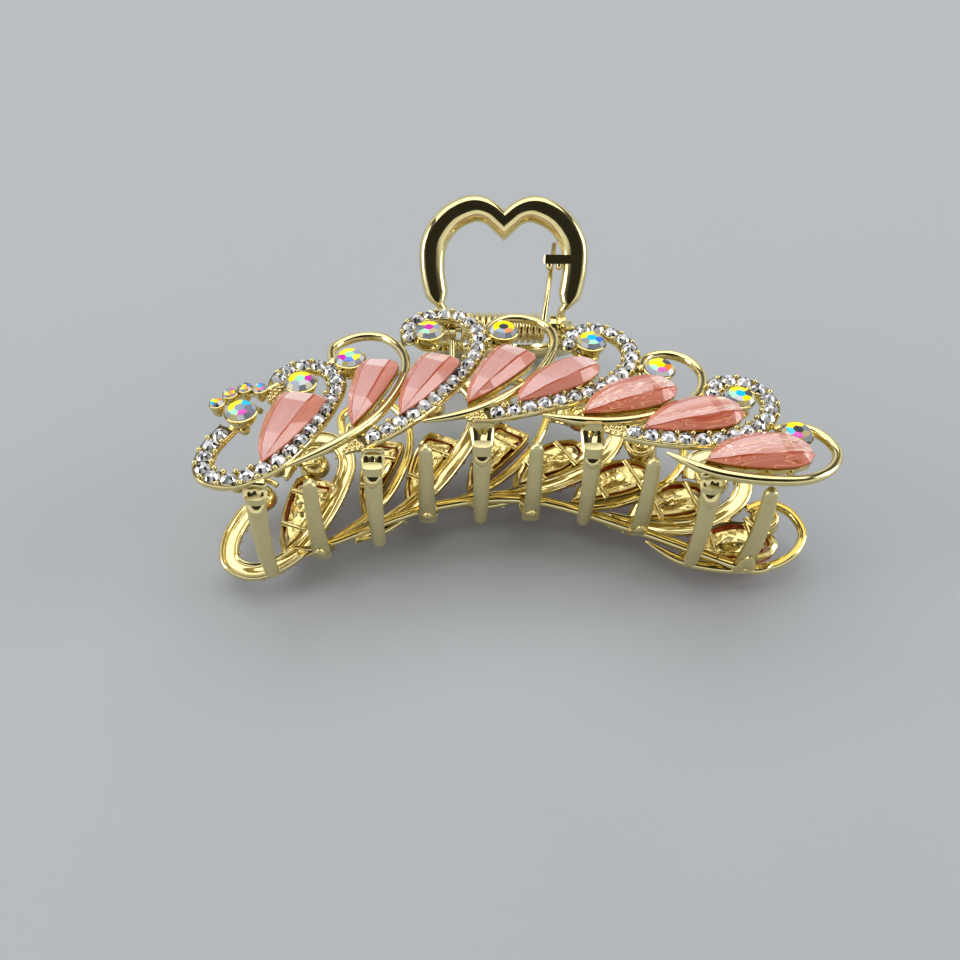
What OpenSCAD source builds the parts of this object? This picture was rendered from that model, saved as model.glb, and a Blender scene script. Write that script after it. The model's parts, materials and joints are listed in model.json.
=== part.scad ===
// Rhinestone hair clip: two mirror-image cast jaws on one hinge pin, sprung shut.
// Each jaw is laid out in its own frame: X runs along the hinge, Y from the teeth
// up to the hinge, and Z outward from the middle plane between the jaws.
// The whole clip then lies on its rear jaw, leaning on that jaw's heart lever.

/* [Lie of the clip] */
// Lean of the middle plane when the clip rests on its rear jaw, in degrees
lean = 3.56; // [0:0.1:20]
// Height of the hinge axis above the surface it lies on
hinge_height = 15.75; // [10:0.01:25]
// Distance of the hinge axis behind the middle of the footprint
hinge_back = 15.18; // [0:0.01:30]
// Offset of the hinge's middle from the middle of the width
hinge_offset = -1.59; // [-5:0.01:5]

/* [Ornament surface] */
// Height of the ornament over the middle plane, at its edge near the hinge
ornament_rise = 6.6; // [5:0.1:9]
// Slope of the ornament away from the middle plane, in degrees
ornament_slope = 6; // [0:0.5:12]

/* [Wire and strip] */
// Diameter of the plain round loops
wire_d = 1.35; // [1:0.05:2]
// Width of the strips that hold the small stones
strip_w = 2.7; // [2.4:0.1:3.2]
// Depth of the strips
strip_t = 1.5; // [1:0.1:2]

/* [Small stones] */
// Diameter of a small clear stone
pave_d = 2; // [1.6:0.1:2.2]
// Spacing of the small clear stones along a strip
pave_pitch = 2.2; // [2.1:0.05:2.6]
// Height of a small clear stone
pave_h = 0.85; // [0.6:0.05:1.2]

/* [Large round stones] */
// Diameter of a large round stone
chaton_d = 4.1; // [3.8:0.1:4.8]
// Height of a large round stone
chaton_h = 2; // [1.5:0.1:2.6]

/* [Drop stones] */
// Length of a drop stone
drop_l = 14; // [12:0.1:16]
// Greatest width of a drop stone
drop_w = 6.2; // [5:0.1:8]
// Height of a drop stone
drop_h = 2.6; // [1.5:0.1:3.5]

/* [Teeth] */
// Width of a tooth at its root
tooth_w = 2.5; // [2:0.1:3.4]
// Width of a tooth at its rounded tip
tooth_tip_w = 1.8; // [1.2:0.1:2.6]
// Thickness of a tooth
tooth_t = 1.3; // [0.8:0.1:1.8]
// Depth that a tooth tip reaches past the middle plane
tooth_reach = 8; // [5:0.5:8.5]

/* [Heart lever] */
// Splay of each lever from the middle plane, in degrees
lever_splay = 50; // [35:1:55]
// Width of the lever's rounded band
band_w = 4; // [3:0.1:4.6]
// Thickness of the lever's rounded band
band_t = 2.6; // [2:0.1:3.2]

/* [Hinge and spring] */
// Diameter of the hinge pin
pin_d = 1.6; // [1.2:0.1:1.6]
// Radial clearance of the pin in the front jaw's lugs
pin_gap = 0.05; // [0.03:0.01:0.1]
// Outer diameter of the hinge lugs
lug_d = 4.4; // [4:0.1:4.6]
// Diameter of the spring wire
spring_wire = 0.8; // [0.6:0.05:0.85]
// Mean diameter of the spring's coil
spring_d = 4; // [3.6:0.1:4.2]
// Turns in the spring's coil
spring_turns = 13; // [8:1:13]
// Spacing of the spring's turns
spring_pitch = 0.94; // [0.92:0.01:1]

/* [Hidden] */

gold = "gold";
clear_stone = "whitesmoke";
rainbow_stone = "lightcyan";
pink_stone = "lightsalmon";
steel_gold = "goldenrod";

// Middle lines of the leaf-shaped loops, as [x, y] on the ornament surface.
// Odd loops are strips set with small stones, and even loops are plain round wire.
loop_1 = [[-31.5, -22.5], [-31, -19.5], [-28.3, -17.6], [-25, -18.5], [-23.3, -22], [-24.4, -27.5],
          [-27, -34], [-30, -38.2], [-34.3, -40.6], [-37.9, -39.2], [-38.3, -35], [-36.5, -30.5]];
loop_2 = [[-28, -38], [-22.5, -34], [-17.5, -28.5], [-14.5, -21], [-14.5, -15],
          [-17.3, -10.8], [-21.3, -10.3], [-24.7, -13], [-24.3, -17]];
loop_3 = [[-19, -33.8], [-15.5, -31.2], [-11, -26.5], [-7, -20.5], [-4.3, -14.5], [-4, -9.5],
          [-6.5, -5.8], [-10.5, -5.3], [-13.8, -7.8], [-13.8, -12.5]];
loop_4 = [[-11.3, -29.5], [-5, -27.5], [0.7, -23.3], [4.7, -18.3], [7, -12.3], [6.3, -7.8],
          [3, -5.6], [-0.5, -6], [-2.8, -9], [-2.3, -12]];
loop_5 = [[-3, -28.3], [1.2, -27.3], [5.4, -25.8], [9.3, -24.3], [13.2, -22], [16.5, -18.5],
          [17.8, -14.5], [16.7, -10.7], [13.3, -8.4], [10, -9.8], [8.8, -13.8]];
loop_6 = [[4.5, -28], [9, -29], [14, -29.1], [18.5, -28], [23, -25.8], [26.3, -22.5],
          [27.3, -18.5], [26, -15.2], [23, -13.8], [19.8, -15], [18.8, -18]];
loop_7 = [[15, -31.3], [19, -32.4], [23.2, -32.8], [27.3, -32.5], [31, -30.9], [34.2, -28.3],
          [35.5, -24.7], [34.3, -21.5], [31.3, -20.1], [28.5, -21.3], [27.8, -24.3]];
loop_8 = [[20, -35], [24, -37.9], [28, -39.2], [32.5, -39.7], [37, -39.3], [40.5, -37.3],
          [42.3, -34], [41, -30.5], [38, -29], [35, -30]];
strip_loops = [loop_1, loop_3, loop_5, loop_7];
wire_loops = [loop_2, loop_4, loop_6, loop_8];

// Centres of the large round stones and of the row of four accent stones
round_stones = [[-35.2, -28.2], [-28.1, -22], [-22.1, -16.8], [-11.1, -10.3], [-0.3, -10.1],
                [12.2, -12.5], [21.3, -18.4], [31.6, -23.8], [37.8, -30.6]];
accent_stones = [[-38.8, -26.2], [-37.4, -24.2], [-35.6, -23], [-33.5, -23.2]];
accent_line = [[-38.8, -26.2], [-37.4, -24.2], [-35.6, -23], [-33.5, -23.2], [-30.6, -21.3]];
accent_d = 2;

// Drop stones: the pointed tip, and the direction of the round end in degrees
drops = [[-30.9, -38.3, 73], [-20.3, -31.2, 77], [-14.3, -29.3, 66], [-5.5, -26.6, 57],
         [1.1, -26.3, 36], [9.8, -28.4, 24], [17.4, -31.3, 16], [24.4, -37.2, 7.5]];

// Roots of the five teeth of each jaw, which lace between each other
front_teeth = [[-31.5, -41.5], [-17.5, -36.2], [-3.5, -32], [11, -32.2], [25.2, -39.2]];
rear_teeth = [[-25.2, -38.4], [-10.9, -32.3], [3.6, -31.8], [18.6, -34.2], [32.8, -39.2]];

// Heights over the ornament plane
strip_wall = 0.35;
pave_gap = 0.1;
curve_steps = 3;
wire_height = -0.2;
stone_gap = 0.01;
setting_height = 1;
plate_low = -0.9;
bar_height = -1.3;
bar_half = 30;
bar_w = 1.8;
bar_t = 1.5;
disc_low = -1.1;
disc_t = 1.05;
disc_rim = 0.8;

// ---- Curves and sweeps ----

// Point on a Catmull-Rom curve through p[i] and p[i + 1], at t from 0 to 1
function knot(p, i) = p[max(0, min(len(p) - 1, i))];
function curve_point(p, i, t) =
    let (a = knot(p, i - 1), b = knot(p, i), c = knot(p, i + 1), d = knot(p, i + 2))
    0.5 * (2 * b + (c - a) * t + (2 * a - 5 * b + 4 * c - d) * t * t
           + (3 * b - a - 3 * c + d) * t * t * t);
function curve(p, steps) = concat(
    [for (i = [0:len(p) - 2], k = [0:steps - 1]) curve_point(p, i, k / steps)],
    [p[len(p) - 1]]
);

// The ornament plane leans back from its edge near the hinge, at y = edge_y
edge_y = -5;
function on_ornament(x, y, h) = [
    x,
    edge_y + (y - edge_y) * cos(ornament_slope) + h * sin(ornament_slope),
    ornament_rise - (y - edge_y) * sin(ornament_slope) + h * cos(ornament_slope)
];
module seated(at, h = 0) {
    translate(on_ornament(at[0], at[1], h))
        rotate([-ornament_slope, 0, 0])
            children();
}
function unit(v) = v / norm(v);

// Direction of travel at point i of a path
function heading(path, i) = unit(path[min(i + 1, len(path) - 1)] - path[max(i - 1, 0)]);

// One ring of a sweep: the outline, drawn across the path with its second axis along up
function ring(at, along, up, outline) =
    let (across = unit(cross(along, up)), over = cross(across, along))
    [for (q = outline) at + q[0] * across + q[1] * over];

// Closed solid through rings of equal length
module skin(rings) {
    n = len(rings[0]);
    last = len(rings) - 1;
    polyhedron(
        points = [for (r = rings) each r],
        faces = concat(
            [[for (k = [n - 1:-1:0]) k]],
            [[for (k = [0:n - 1]) last * n + k]],
            [for (i = [0:last - 1], k = [0:n - 1])
                [i * n + k, i * n + (k + 1) % n, (i + 1) * n + (k + 1) % n, (i + 1) * n + k]]
        ),
        convexity = 10
    );
}

function ellipse(w, h, n) = [for (k = [0:n - 1]) [w / 2 * cos(360 * (k + 0.5) / n), h / 2 * sin(360 * (k + 0.5) / n)]];

// ---- Ornament of one jaw, on the front side ----

// Band of width w along a path in the plane
module band(path, w) {
    last = len(path) - 1;
    aside = [for (i = [0:last]) let (a = heading(path, i)) [-a[1], a[0]] * w / 2];
    polygon(concat(
        [for (i = [0:last]) path[i] + aside[i]],
        [for (i = [last:-1:0]) path[i] - aside[i]]
    ));
}

// Prism of a flat outline, from height low to height high over the ornament plane
module layer(low, high) {
    seated([0, 0], low)
        linear_extrude(high - low)
            children();
}

// Strip, and the groove in it that leaves a floor for the stones between two low walls
module stone_strip(points) {
    layer(strip_wall - strip_t, strip_wall)
        band(curve(points, curve_steps), strip_w);
}
module stone_groove(points) {
    layer(0, setting_height + chaton_h)
        band(curve(points, curve_steps), pave_d + 2 * pave_gap);
}

// Wire of a near-round section: a wide thin layer and a narrow thick one
module wire_loop(points) {
    path = curve(points, curve_steps);
    for (size = [[wire_d, wire_d * 0.5], [wire_d * 0.6, wire_d * 0.95]])
        layer(wire_height - size[1] / 2, wire_height + size[1] / 2)
            band(path, size[0]);
}

// Disc under the loops and a post through them, which hold a round stone
module stone_post(at, d) {
    seated(at, disc_low / 2)
        cylinder(d = d * 0.6, h = setting_height - disc_low / 2, $fn = 32);
}
module round_setting(at, d) {
    seated(at, disc_low)
        cylinder(d = d + 2 * disc_rim, h = disc_t, $fn = 32);
    stone_post(at, d);
}

// Curved plate with four posts, which holds the row of accent stones
module accent_setting() {
    layer(disc_low, disc_low + disc_t)
        band(curve(accent_line, curve_steps), accent_d + pave_gap);
    for (at = accent_stones) stone_post(at, accent_d);
}

// Rail under a drop stone, and a crossbar that ties it to the loop on both sides
plate_w = 1.6;
crossbar_l = 9.4;
crossbar_t = 0.8;
module drop_setting(d) {
    seated([d[0], d[1]], plate_low)
        rotate([0, 0, d[2]])
            {
                translate([drop_l * 0.12, -plate_w / 2, 0])
                    cube([drop_l * 0.76, plate_w, setting_height - plate_low]);
                translate([drop_l / 2, -crossbar_l / 2, 0])
                    cube([plate_w, crossbar_l, crossbar_t]);
            }
}

// Bar that ties the loops together and carries the teeth
function bar_y(x) = -30.4 - 0.0098 * x * x;
module tooth_bar() {
    path = [for (x = [-bar_half:bar_half / 8:bar_half]) [x, bar_y(x)]];
    layer(bar_height - bar_t / 2, bar_height + bar_t / 2)
        band(path, bar_w);
}

// Tooth from its root on the ornament, bowed a little, to a tip past the middle plane
tooth_bow = 1.2;
tooth_lean = 1.3;
module tooth(at) {
    z_root = on_ornament(at[0], at[1], 0)[2];
    stations = 7;
    rings = [for (i = [0:stations])
        let (
            s = i / stations,
            z = z_root + (-tooth_reach - z_root) * s,
            bow = -tooth_bow * sin(180 * s) - tooth_lean * s * s,
            w = tooth_w + (tooth_tip_w - tooth_w) * s,
            end = i == stations ? 0.6 : 1
        )
        [for (q = ellipse(w * end, tooth_t * end, 8)) [at[0] + q[0], at[1] + bow + q[1], z]]];
    skin(rings);
}

// Short bridge from a tooth's root to the bar
module tooth_root(at) {
    gap = bar_y(at[0]) - at[1];
    translate([at[0] - tooth_w / 2, at[1] - 0.3, on_ornament(at[0], at[1], -2)[2]])
        cube([tooth_w, max(gap, 0.6) + 0.5, 1.6]);
}

module ornament(teeth) {
    difference() {
        union() {
            for (p = strip_loops) stone_strip(p);
            for (p = wire_loops) wire_loop(p);
            for (at = round_stones) round_setting(at, chaton_d);
            accent_setting();
            for (d = drops) drop_setting(d);
            tooth_bar();
        }
        for (p = strip_loops) stone_groove(p);
    }
    for (at = teeth) {
        tooth(at);
        tooth_root(at);
    }
}

// ---- Lever, lugs and spring catch of one jaw ----

// Right half of the heart's middle line, in the lever's own plane
heart_half = [[0, 12.2], [1.9, 14.4], [4.8, 15.2], [8.3, 13.6], [10.7, 10.3], [11.1, 6.5],
              [10.6, 3], [9.9, 0.8]];
// Where the lever's plane crosses the middle of the jaw, as [y, z] from the hinge
lever_foot = [1, 3];

module heart_band() {
    path = [for (q = curve(heart_half, 3)) [q[0], q[1], 0]];
    skin([for (i = [0:len(path) - 1]) ring(path[i], heading(path, i), [0, 0, 1], ellipse(band_w, band_t, 10))]);
}

module in_lever_plane() {
    translate([0, lever_foot[0], lever_foot[1]])
        rotate([lever_splay, 0, 0])
            children();
}

// Small block that the spring's leg presses on, on the side that side_x says
catch_x = 6.4;
catch_y = 7.6;
module spring_catch(side_x) {
    in_lever_plane() {
        translate([side_x > 0 ? catch_x : -catch_x - 4, catch_y - 0.7, -0.4])
            cube([4, 1.4, 1.4]);
        for (dx = [0.5, 2.3])
            translate([side_x * (catch_x + dx), catch_y, 0.2])
                rotate([90, 0, 0])
                    cylinder(d = 0.9, h = 1.4, $fn = 24);
    }
}

// Lug from x = from to x = to, with a spoke out to the heart's foot at foot_x
spoke_angle = 66;
module lug(from, to) {
    translate([from, 0, 0])
        rotate([0, 90, 0])
            cylinder(d = lug_d, h = to - from, $fn = 48);
    rotate([spoke_angle, 0, 0]) {
        translate([from, spoke_from, -spoke_w / 2])
            cube([to - from, 2, spoke_w]);
        translate([from, 2.7, -spoke_w / 2])
            cube([foot_x - from, 1.9, spoke_w]);
    }
}
foot_x = 11;
spoke_from = 1.2;
spoke_w = 2.2;

// Arm from a lug down to the ornament point [x, y]
module arm(from, to, point) {
    hull() {
        translate([from, 0, 0])
            rotate([0, 90, 0])
                cylinder(d = 2.6, h = to - from, $fn = 32);
        translate(on_ornament(point[0] - (to - from) / 2, point[1], arm_low))
            rotate([0, 90, 0])
                cylinder(d = 1.4, h = to - from, $fn = 32);
    }
}

module hinge_side(from, to, points, bore_r) {
    difference() {
        union() {
            lug(from, to);
            mirror([1, 0, 0]) lug(from, to);
            arm(from, to, points[1]);
            mirror([1, 0, 0]) arm(from, to, [-points[0][0], points[0][1]]);
        }
        translate([-foot_x - 1, 0, 0])
            rotate([0, 90, 0])
                cylinder(r = bore_r, h = 2 * foot_x + 2, $fn = 48);
    }
    in_lever_plane() {
        heart_band();
        mirror([1, 0, 0]) heart_band();
    }
}

// Each jaw's lugs from inner to outer face, and where its arms meet the ornament
front_lug = [8.5, 9.9];
front_arms = [[-10.3, -5.6], [10.4, -9.2]];
rear_lug = [7.3, 8.4];
rear_arms = [[-7.85, -5.6], [7.85, -12.4]];
arm_low = -0.9;

// ---- Stones, on the front side ----

function path_lengths(path) = [
    for (i = 0, s = 0; i < len(path); s = s + (i + 1 < len(path) ? norm(path[i + 1] - path[i]) : 0), i = i + 1) s
];
function point_at(path, lengths, s) =
    let (
        i = min(len(path) - 2, len([for (q = lengths) if (q <= s) 1]) - 1),
        t = (s - lengths[i]) / (lengths[i + 1] - lengths[i])
    )
    path[i] + (path[i + 1] - path[i]) * t;

// Profile of a cut stone: a low crown with a flat table
function stone_profile(d, h) = [[0, 0], [d / 2, 0], [d / 2, h * 0.4], [d * 0.3, h], [0, h]];
module small_stone(d, h) {
    rotate_extrude($fn = 24)
        polygon(stone_profile(d, h));
}

module stone_row(points) {
    path = curve(points, 6);
    lengths = path_lengths(path);
    total = lengths[len(lengths) - 1];
    count = floor((total - pave_d) / pave_pitch);
    first = (total - count * pave_pitch) / 2;
    for (i = [0:count])
        seated(point_at(path, lengths, first + i * pave_pitch), stone_gap)
            small_stone(pave_d, pave_h);
}

module round_stone(at) {
    seated(at, setting_height + stone_gap)
        small_stone(chaton_d, chaton_h);
}

// Outline of a drop stone, from its tip round its blunt end; side 1 bulges and side -1 is flatter
drop_sides = [[2, 1.7], [4.2, 2.75], [6.4, 3.35], [8.6, 3.6], [11, 3.3], [13.2, 2.75], [14.4, 1.6],
              [14.3, -0.8], [13.4, -2.3], [11, -2.5], [8.6, -2.4], [6.4, -2.3], [4.2, -2], [2, -1.2]];
function drop_outline() = concat([[0, 0]], [for (q = drop_sides) [q[0] * drop_l / 14.4, q[1] * drop_w / 6.1]]);

// Drop-shaped stone: rings up to a narrow ridge
module drop_stone(d) {
    rings = [[0.8, 0], [1, 0.3], [0.6, 0.85], [0.3, 1]];
    middle = [drop_l / 2, 0.4];
    seated([d[0], d[1]], setting_height + stone_gap)
        rotate([0, 0, d[2]])
            skin([for (r = rings)
                [for (q = drop_outline())
                    [middle[0] + (q[0] - middle[0]) * (0.4 + 0.6 * r[0]),
                     middle[1] + (q[1] - middle[1]) * r[0],
                     r[1] * drop_h]]]);
}

// ---- Whole parts, laid down as the clip rests ----

module laid_down() {
    translate([hinge_offset, hinge_back, hinge_height])
        rotate([lean, 0, 0])
            children();
}
module on_side(side) {
    laid_down()
        if (side == "front") children();
        else mirror([0, 0, 1]) children();
}

module front_jaw() {
    color(gold)
        laid_down() {
            ornament(front_teeth);
            hinge_side(front_lug[0], front_lug[1], front_arms, pin_d / 2 + pin_gap);
            spring_catch(1);
        }
}

module rear_jaw() {
    color(gold)
        laid_down()
            mirror([0, 0, 1]) {
                ornament(rear_teeth);
                hinge_side(rear_lug[0], rear_lug[1], rear_arms, pin_d / 2 + stone_gap);
                spring_catch(-1);
            }
}

pin_half = 10.3;
module hinge_pin() {
    color(steel_gold)
        laid_down() {
            translate([-pin_half, 0, 0])
                rotate([0, 90, 0])
                    cylinder(d = pin_d, h = 2 * pin_half, $fn = 48);
            for (x = [-pin_half - 0.6, pin_half])
                translate([x, 0, 0])
                    rotate([0, 90, 0])
                        cylinder(d = pin_d + 0.9, h = 0.6, $fn = 48);
        }
}

// Spring coil round the pin: point at angle a after the left end
coil_length = (spring_turns + 0.25) * spring_pitch;
coil_start = 225;
function coil_point(a) = [
    -coil_length / 2 + coil_length * a / (360 * (spring_turns + 0.25)),
    spring_d / 2 * cos(coil_start - a),
    spring_d / 2 * sin(coil_start - a)
];
leg_top = [8, 9.6];
leg_depth = -1.3;
function in_plane(x, y, z) = [
    x,
    lever_foot[0] + y * cos(lever_splay) - z * sin(lever_splay),
    lever_foot[1] + y * sin(lever_splay) + z * cos(lever_splay)
];
wire_outline = ellipse(spring_wire, spring_wire, 6);

module wire(path, up) {
    skin([for (i = [0:len(path) - 1]) ring(path[i], heading(path, i), up, wire_outline)]);
}

module spring_coil() {
    step = 30;
    turn = 360 * (spring_turns + 0.25);
    foot = in_plane(-leg_top[0], leg_top[1], leg_depth);
    color(steel_gold)
        laid_down()
            wire(concat([[foot[0], foot[1], -foot[2]], [-7, 3.2, -2.1]], [for (a = [0:step:turn]) coil_point(a)]), [1, 0, 0]);
}

module spring_leg() {
    end = coil_point(360 * (spring_turns + 0.25));
    top = in_plane(leg_top[0], leg_top[1], leg_depth);
    near = [end[0] + 0.05, end[1] + 0.05, end[2] + 0.05];
    color(steel_gold)
        laid_down()
            wire([near, near + (top - near) * 0.2, top], [1, 0, 0]);
}

rear_jaw();
front_jaw();
hinge_pin();
spring_coil();
spring_leg();
for (side = ["rear", "front"]) {
    for (i = [1:8])
        color(pink_stone) on_side(side) drop_stone(drops[i - 1]);
    for (i = [1:9])
        color(rainbow_stone) on_side(side) round_stone(round_stones[i - 1]);
    for (i = [0:3])
        color(clear_stone) on_side(side) stone_row(strip_loops[i]);
    color(rainbow_stone) on_side(side)
            for (at = accent_stones)
                seated(at, setting_height + stone_gap)
                    small_stone(accent_d, pave_h);
}
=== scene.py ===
"""Rhinestone hair clip lying on its rear jaw: detailed castings, cut stones, spring and studio."""
import json
import math
import random

import bmesh
import bpy
import numpy as np
from mathutils import Matrix, Vector


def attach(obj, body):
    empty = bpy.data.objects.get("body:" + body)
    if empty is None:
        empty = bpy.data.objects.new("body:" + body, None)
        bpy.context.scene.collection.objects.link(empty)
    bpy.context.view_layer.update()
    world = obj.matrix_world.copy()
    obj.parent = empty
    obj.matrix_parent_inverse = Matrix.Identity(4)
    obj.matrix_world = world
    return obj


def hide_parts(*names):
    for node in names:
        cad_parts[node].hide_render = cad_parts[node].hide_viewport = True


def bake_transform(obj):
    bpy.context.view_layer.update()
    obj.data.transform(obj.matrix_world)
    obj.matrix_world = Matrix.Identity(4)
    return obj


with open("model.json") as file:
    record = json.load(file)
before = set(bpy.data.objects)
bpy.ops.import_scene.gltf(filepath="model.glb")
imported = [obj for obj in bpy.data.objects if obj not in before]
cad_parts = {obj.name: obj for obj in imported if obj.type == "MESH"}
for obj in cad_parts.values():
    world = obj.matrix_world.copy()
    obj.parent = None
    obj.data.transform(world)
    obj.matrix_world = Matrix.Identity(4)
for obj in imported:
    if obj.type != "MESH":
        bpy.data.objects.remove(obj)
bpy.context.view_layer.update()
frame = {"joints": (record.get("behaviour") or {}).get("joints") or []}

# ---------------------------------------------------------------- driving values, in millimetres and radians
MM = 0.001
HINGE = np.array(next(j for j in frame["joints"] if j["name"] == "jaw_hinge")["pos_m"])
LEAN = math.radians(3.56)

# The ornament plane leans back from its edge near the hinge
EDGE_Y = -5.0
ORNAMENT_RISE = 6.6
ORNAMENT_SLOPE = math.tan(math.radians(6))
END_CURL = 0.0006

WIRE_D = 1.35
STRIP_W = 2.7
STRIP_T = 1.0
STRIP_WALL = 0.35
PAVE_D, PAVE_H = 2.0, 0.85
PAVE_PITCH = 2.2
CHATON_D, CHATON_H = 4.1, 1.15
CUP_D = 4.7
ACCENT_D, ACCENT_H = 2.0, 0.7
ACCENT_CUP_D = 2.2
CHATON_SEAT, ACCENT_SEAT, DROP_SEAT = 0.4, 0.35, 0.25
TOOTH_W, TOOTH_TIP_W, TOOTH_T, TOOTH_REACH = 2.5, 1.8, 1.3, 8.0
LEVER_SPLAY = math.radians(50)
LEVER_FOOT = (1.0, 3.0)
BAND_W, BAND_T, CREST = 4.0, 2.6, -0.35
LUG_D = 4.4

# Middle lines of the leaf loops on the ornament surface; odd ones are strips set with stones
LOOPS = {
    1: [(-31.5, -22.5), (-31, -19.5), (-28.3, -17.6), (-25, -18.5), (-23.3, -22), (-24.4, -27.5),
        (-27, -34), (-30, -38.2), (-34.3, -40.6), (-37.9, -39.2), (-38.3, -35), (-36.5, -30.5)],
    2: [(-28, -38), (-22.5, -34), (-17.5, -28.5), (-14.5, -21), (-14.5, -15),
        (-17.3, -10.8), (-21.3, -10.3), (-24.7, -13), (-24.3, -17)],
    3: [(-19, -33.8), (-15.5, -31.2), (-11, -26.5), (-7, -20.5), (-4.3, -14.5), (-4, -9.5),
        (-6.5, -5.8), (-10.5, -5.3), (-13.8, -7.8), (-13.8, -12.5)],
    4: [(-11.3, -29.5), (-5, -27.5), (0.7, -23.3), (4.7, -18.3), (7, -12.3), (6.3, -7.8),
        (3, -5.6), (-0.5, -6), (-2.8, -9), (-2.3, -12)],
    5: [(-3, -28.3), (1.2, -27.3), (5.4, -25.8), (9.3, -24.3), (13.2, -22), (16.5, -18.5),
        (17.8, -14.5), (16.7, -10.7), (13.3, -8.4), (10, -9.8), (8.8, -13.8)],
    6: [(4.5, -28), (9, -29), (14, -29.1), (18.5, -28), (23, -25.8), (26.3, -22.5),
        (27.3, -18.5), (26, -15.2), (23, -13.8), (19.8, -15), (18.8, -18)],
    7: [(15, -31.3), (19, -32.4), (23.2, -32.8), (27.3, -32.5), (31, -30.9), (34.2, -28.3),
        (35.5, -24.7), (34.3, -21.5), (31.3, -20.1), (28.5, -21.3), (27.8, -24.3)],
    8: [(20, -35), (24, -37.9), (28, -39.2), (32.5, -39.7), (37, -39.3), (40.5, -37.3),
        (42.3, -34), (41, -30.5), (38, -29), (35, -30)],
}
ROUND_STONES = [(-35.2, -28.2), (-28.1, -22.2), (-21.9, -16.9), (-11.1, -10.3), (-0.3, -10.1),
                (12.2, -12.5), (21.2, -18.6), (31.2, -24.5), (37.3, -31.6)]
ACCENT_STONES = [(-38.8, -26.2), (-37.4, -24.2), (-35.6, -23), (-33.5, -23.2)]
# Drop stones: tip x and y, the direction of the blunt end in degrees, and the width against the first
DROPS = [(-30.9, -38.3, 73, 1.0), (-20.3, -31.2, 77, 0.84), (-14.3, -29.3, 66, 0.88),
         (-5.5, -26.6, 57, 0.93), (1.1, -26.3, 36, 1.0), (9.8, -28.4, 24, 1.1),
         (17.4, -31.3, 16, 1.12), (24.4, -37.2, 7.5, 1.15)]
# Roots of the teeth, x and y, and the y of the loops' edge that each one grows from
TEETH = {
    "front": [(-31.5, -41.5, -40.6), (-17.5, -36.2, -34.6), (-3.5, -32, -29.3), (11, -32.2, -29.6),
              (25.2, -39.2, -38.4)],
    "rear": [(-25.2, -38.4, -36.7), (-10.9, -32.3, -30.2), (3.6, -31.8, -28.6), (18.6, -34.2, -33.7),
             (32.8, -39.2, -40)],
}
# Right half of the heart's middle line in the lever's plane, and the band's width along it: the
# number of the point counted from the notch, and a share of BAND_W
HEART_HALF = [(0, 12.2), (1.9, 14.4), (4.8, 15.2), (8.3, 13.6), (10.7, 10.3), (11.1, 6.5),
              (10.6, 3), (9.9, 0.8)]
HEART_WIDTHS = [(0, 0.8), (1.2, 0.92), (2.2, 1.06), (3.6, 1.06), (5, 0.97), (6.3, 0.9), (7.2, 0.36),
                (8.4, 0.26)]


# ---------------------------------------------------------------- curves and the ornament surface
def curve(points, steps):
    """Points along a Catmull-Rom curve through the given points."""
    p = np.array(points, float)
    p = np.vstack([p[:1], p, p[-1:]])
    out = []
    for i in range(1, len(p) - 2):
        a, b, c, d = p[i - 1:i + 3]
        for t in np.arange(steps) / steps:
            out.append(0.5 * (2 * b + (c - a) * t + (2 * a - 5 * b + 4 * c - d) * t**2
                              + (3 * b - a - 3 * c + d) * t**3))
    return np.array(out + [p[-1]])


def spaced(points, pitch, margin):
    """Positions at an even pitch along a curve, with the same margin at both ends."""
    path = curve(points, 6)
    length = np.concatenate([[0], np.cumsum(np.linalg.norm(np.diff(path, axis=0), axis=1))])
    count = int((length[-1] - margin) // pitch)
    first = (length[-1] - count * pitch) / 2
    at = first + pitch * np.arange(count + 1)
    return np.stack([np.interp(at, length, path[:, k]) for k in (0, 1)], 1)


def ornament_z(x, y):
    return ORNAMENT_RISE - ORNAMENT_SLOPE * (y - EDGE_Y) - END_CURL * x * x


def outward(x, y):
    n = np.array([2 * END_CURL * x, ORNAMENT_SLOPE, 1.0])
    return n / np.linalg.norm(n)


def on_ornament(x, y, h):
    return np.array([x, y, ornament_z(x, y)]) + h * outward(x, y)


def seat(x, y, h, turn=0.0):
    """4x4 matrix that stands a part on the ornament surface, turned by an angle in degrees."""
    m = Matrix.Translation(Vector(on_ornament(x, y, h)))
    m @= Matrix.Rotation(-math.atan(ORNAMENT_SLOPE), 4, "X")
    m @= Matrix.Rotation(math.atan(2 * END_CURL * x), 4, "Y")
    return m @ Matrix.Rotation(math.radians(turn), 4, "Z")


def lever_plane(points):
    """Points in the lever's plane, moved to the jaw's own frame."""
    q = np.atleast_2d(np.array(points, float))
    c, s = math.cos(LEVER_SPLAY), math.sin(LEVER_SPLAY)
    return np.stack([q[:, 0], LEVER_FOOT[0] + q[:, 1] * c - q[:, 2] * s,
                     LEVER_FOOT[1] + q[:, 1] * s + q[:, 2] * c], 1)


def laid_down(points, side):
    """Jaw-frame millimetres to row-frame metres."""
    q = np.array(points, float)
    if side == "rear":
        q = q * [1, 1, -1]
    c, s = math.cos(LEAN), math.sin(LEAN)
    y = q[:, 1] * c - q[:, 2] * s
    z = q[:, 1] * s + q[:, 2] * c
    return HINGE + np.stack([q[:, 0], y, z], 1) * MM


# ---------------------------------------------------------------- mesh making
# Faces that meet at a wider angle keep a sharp edge
SHARP = math.radians(38)


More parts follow.
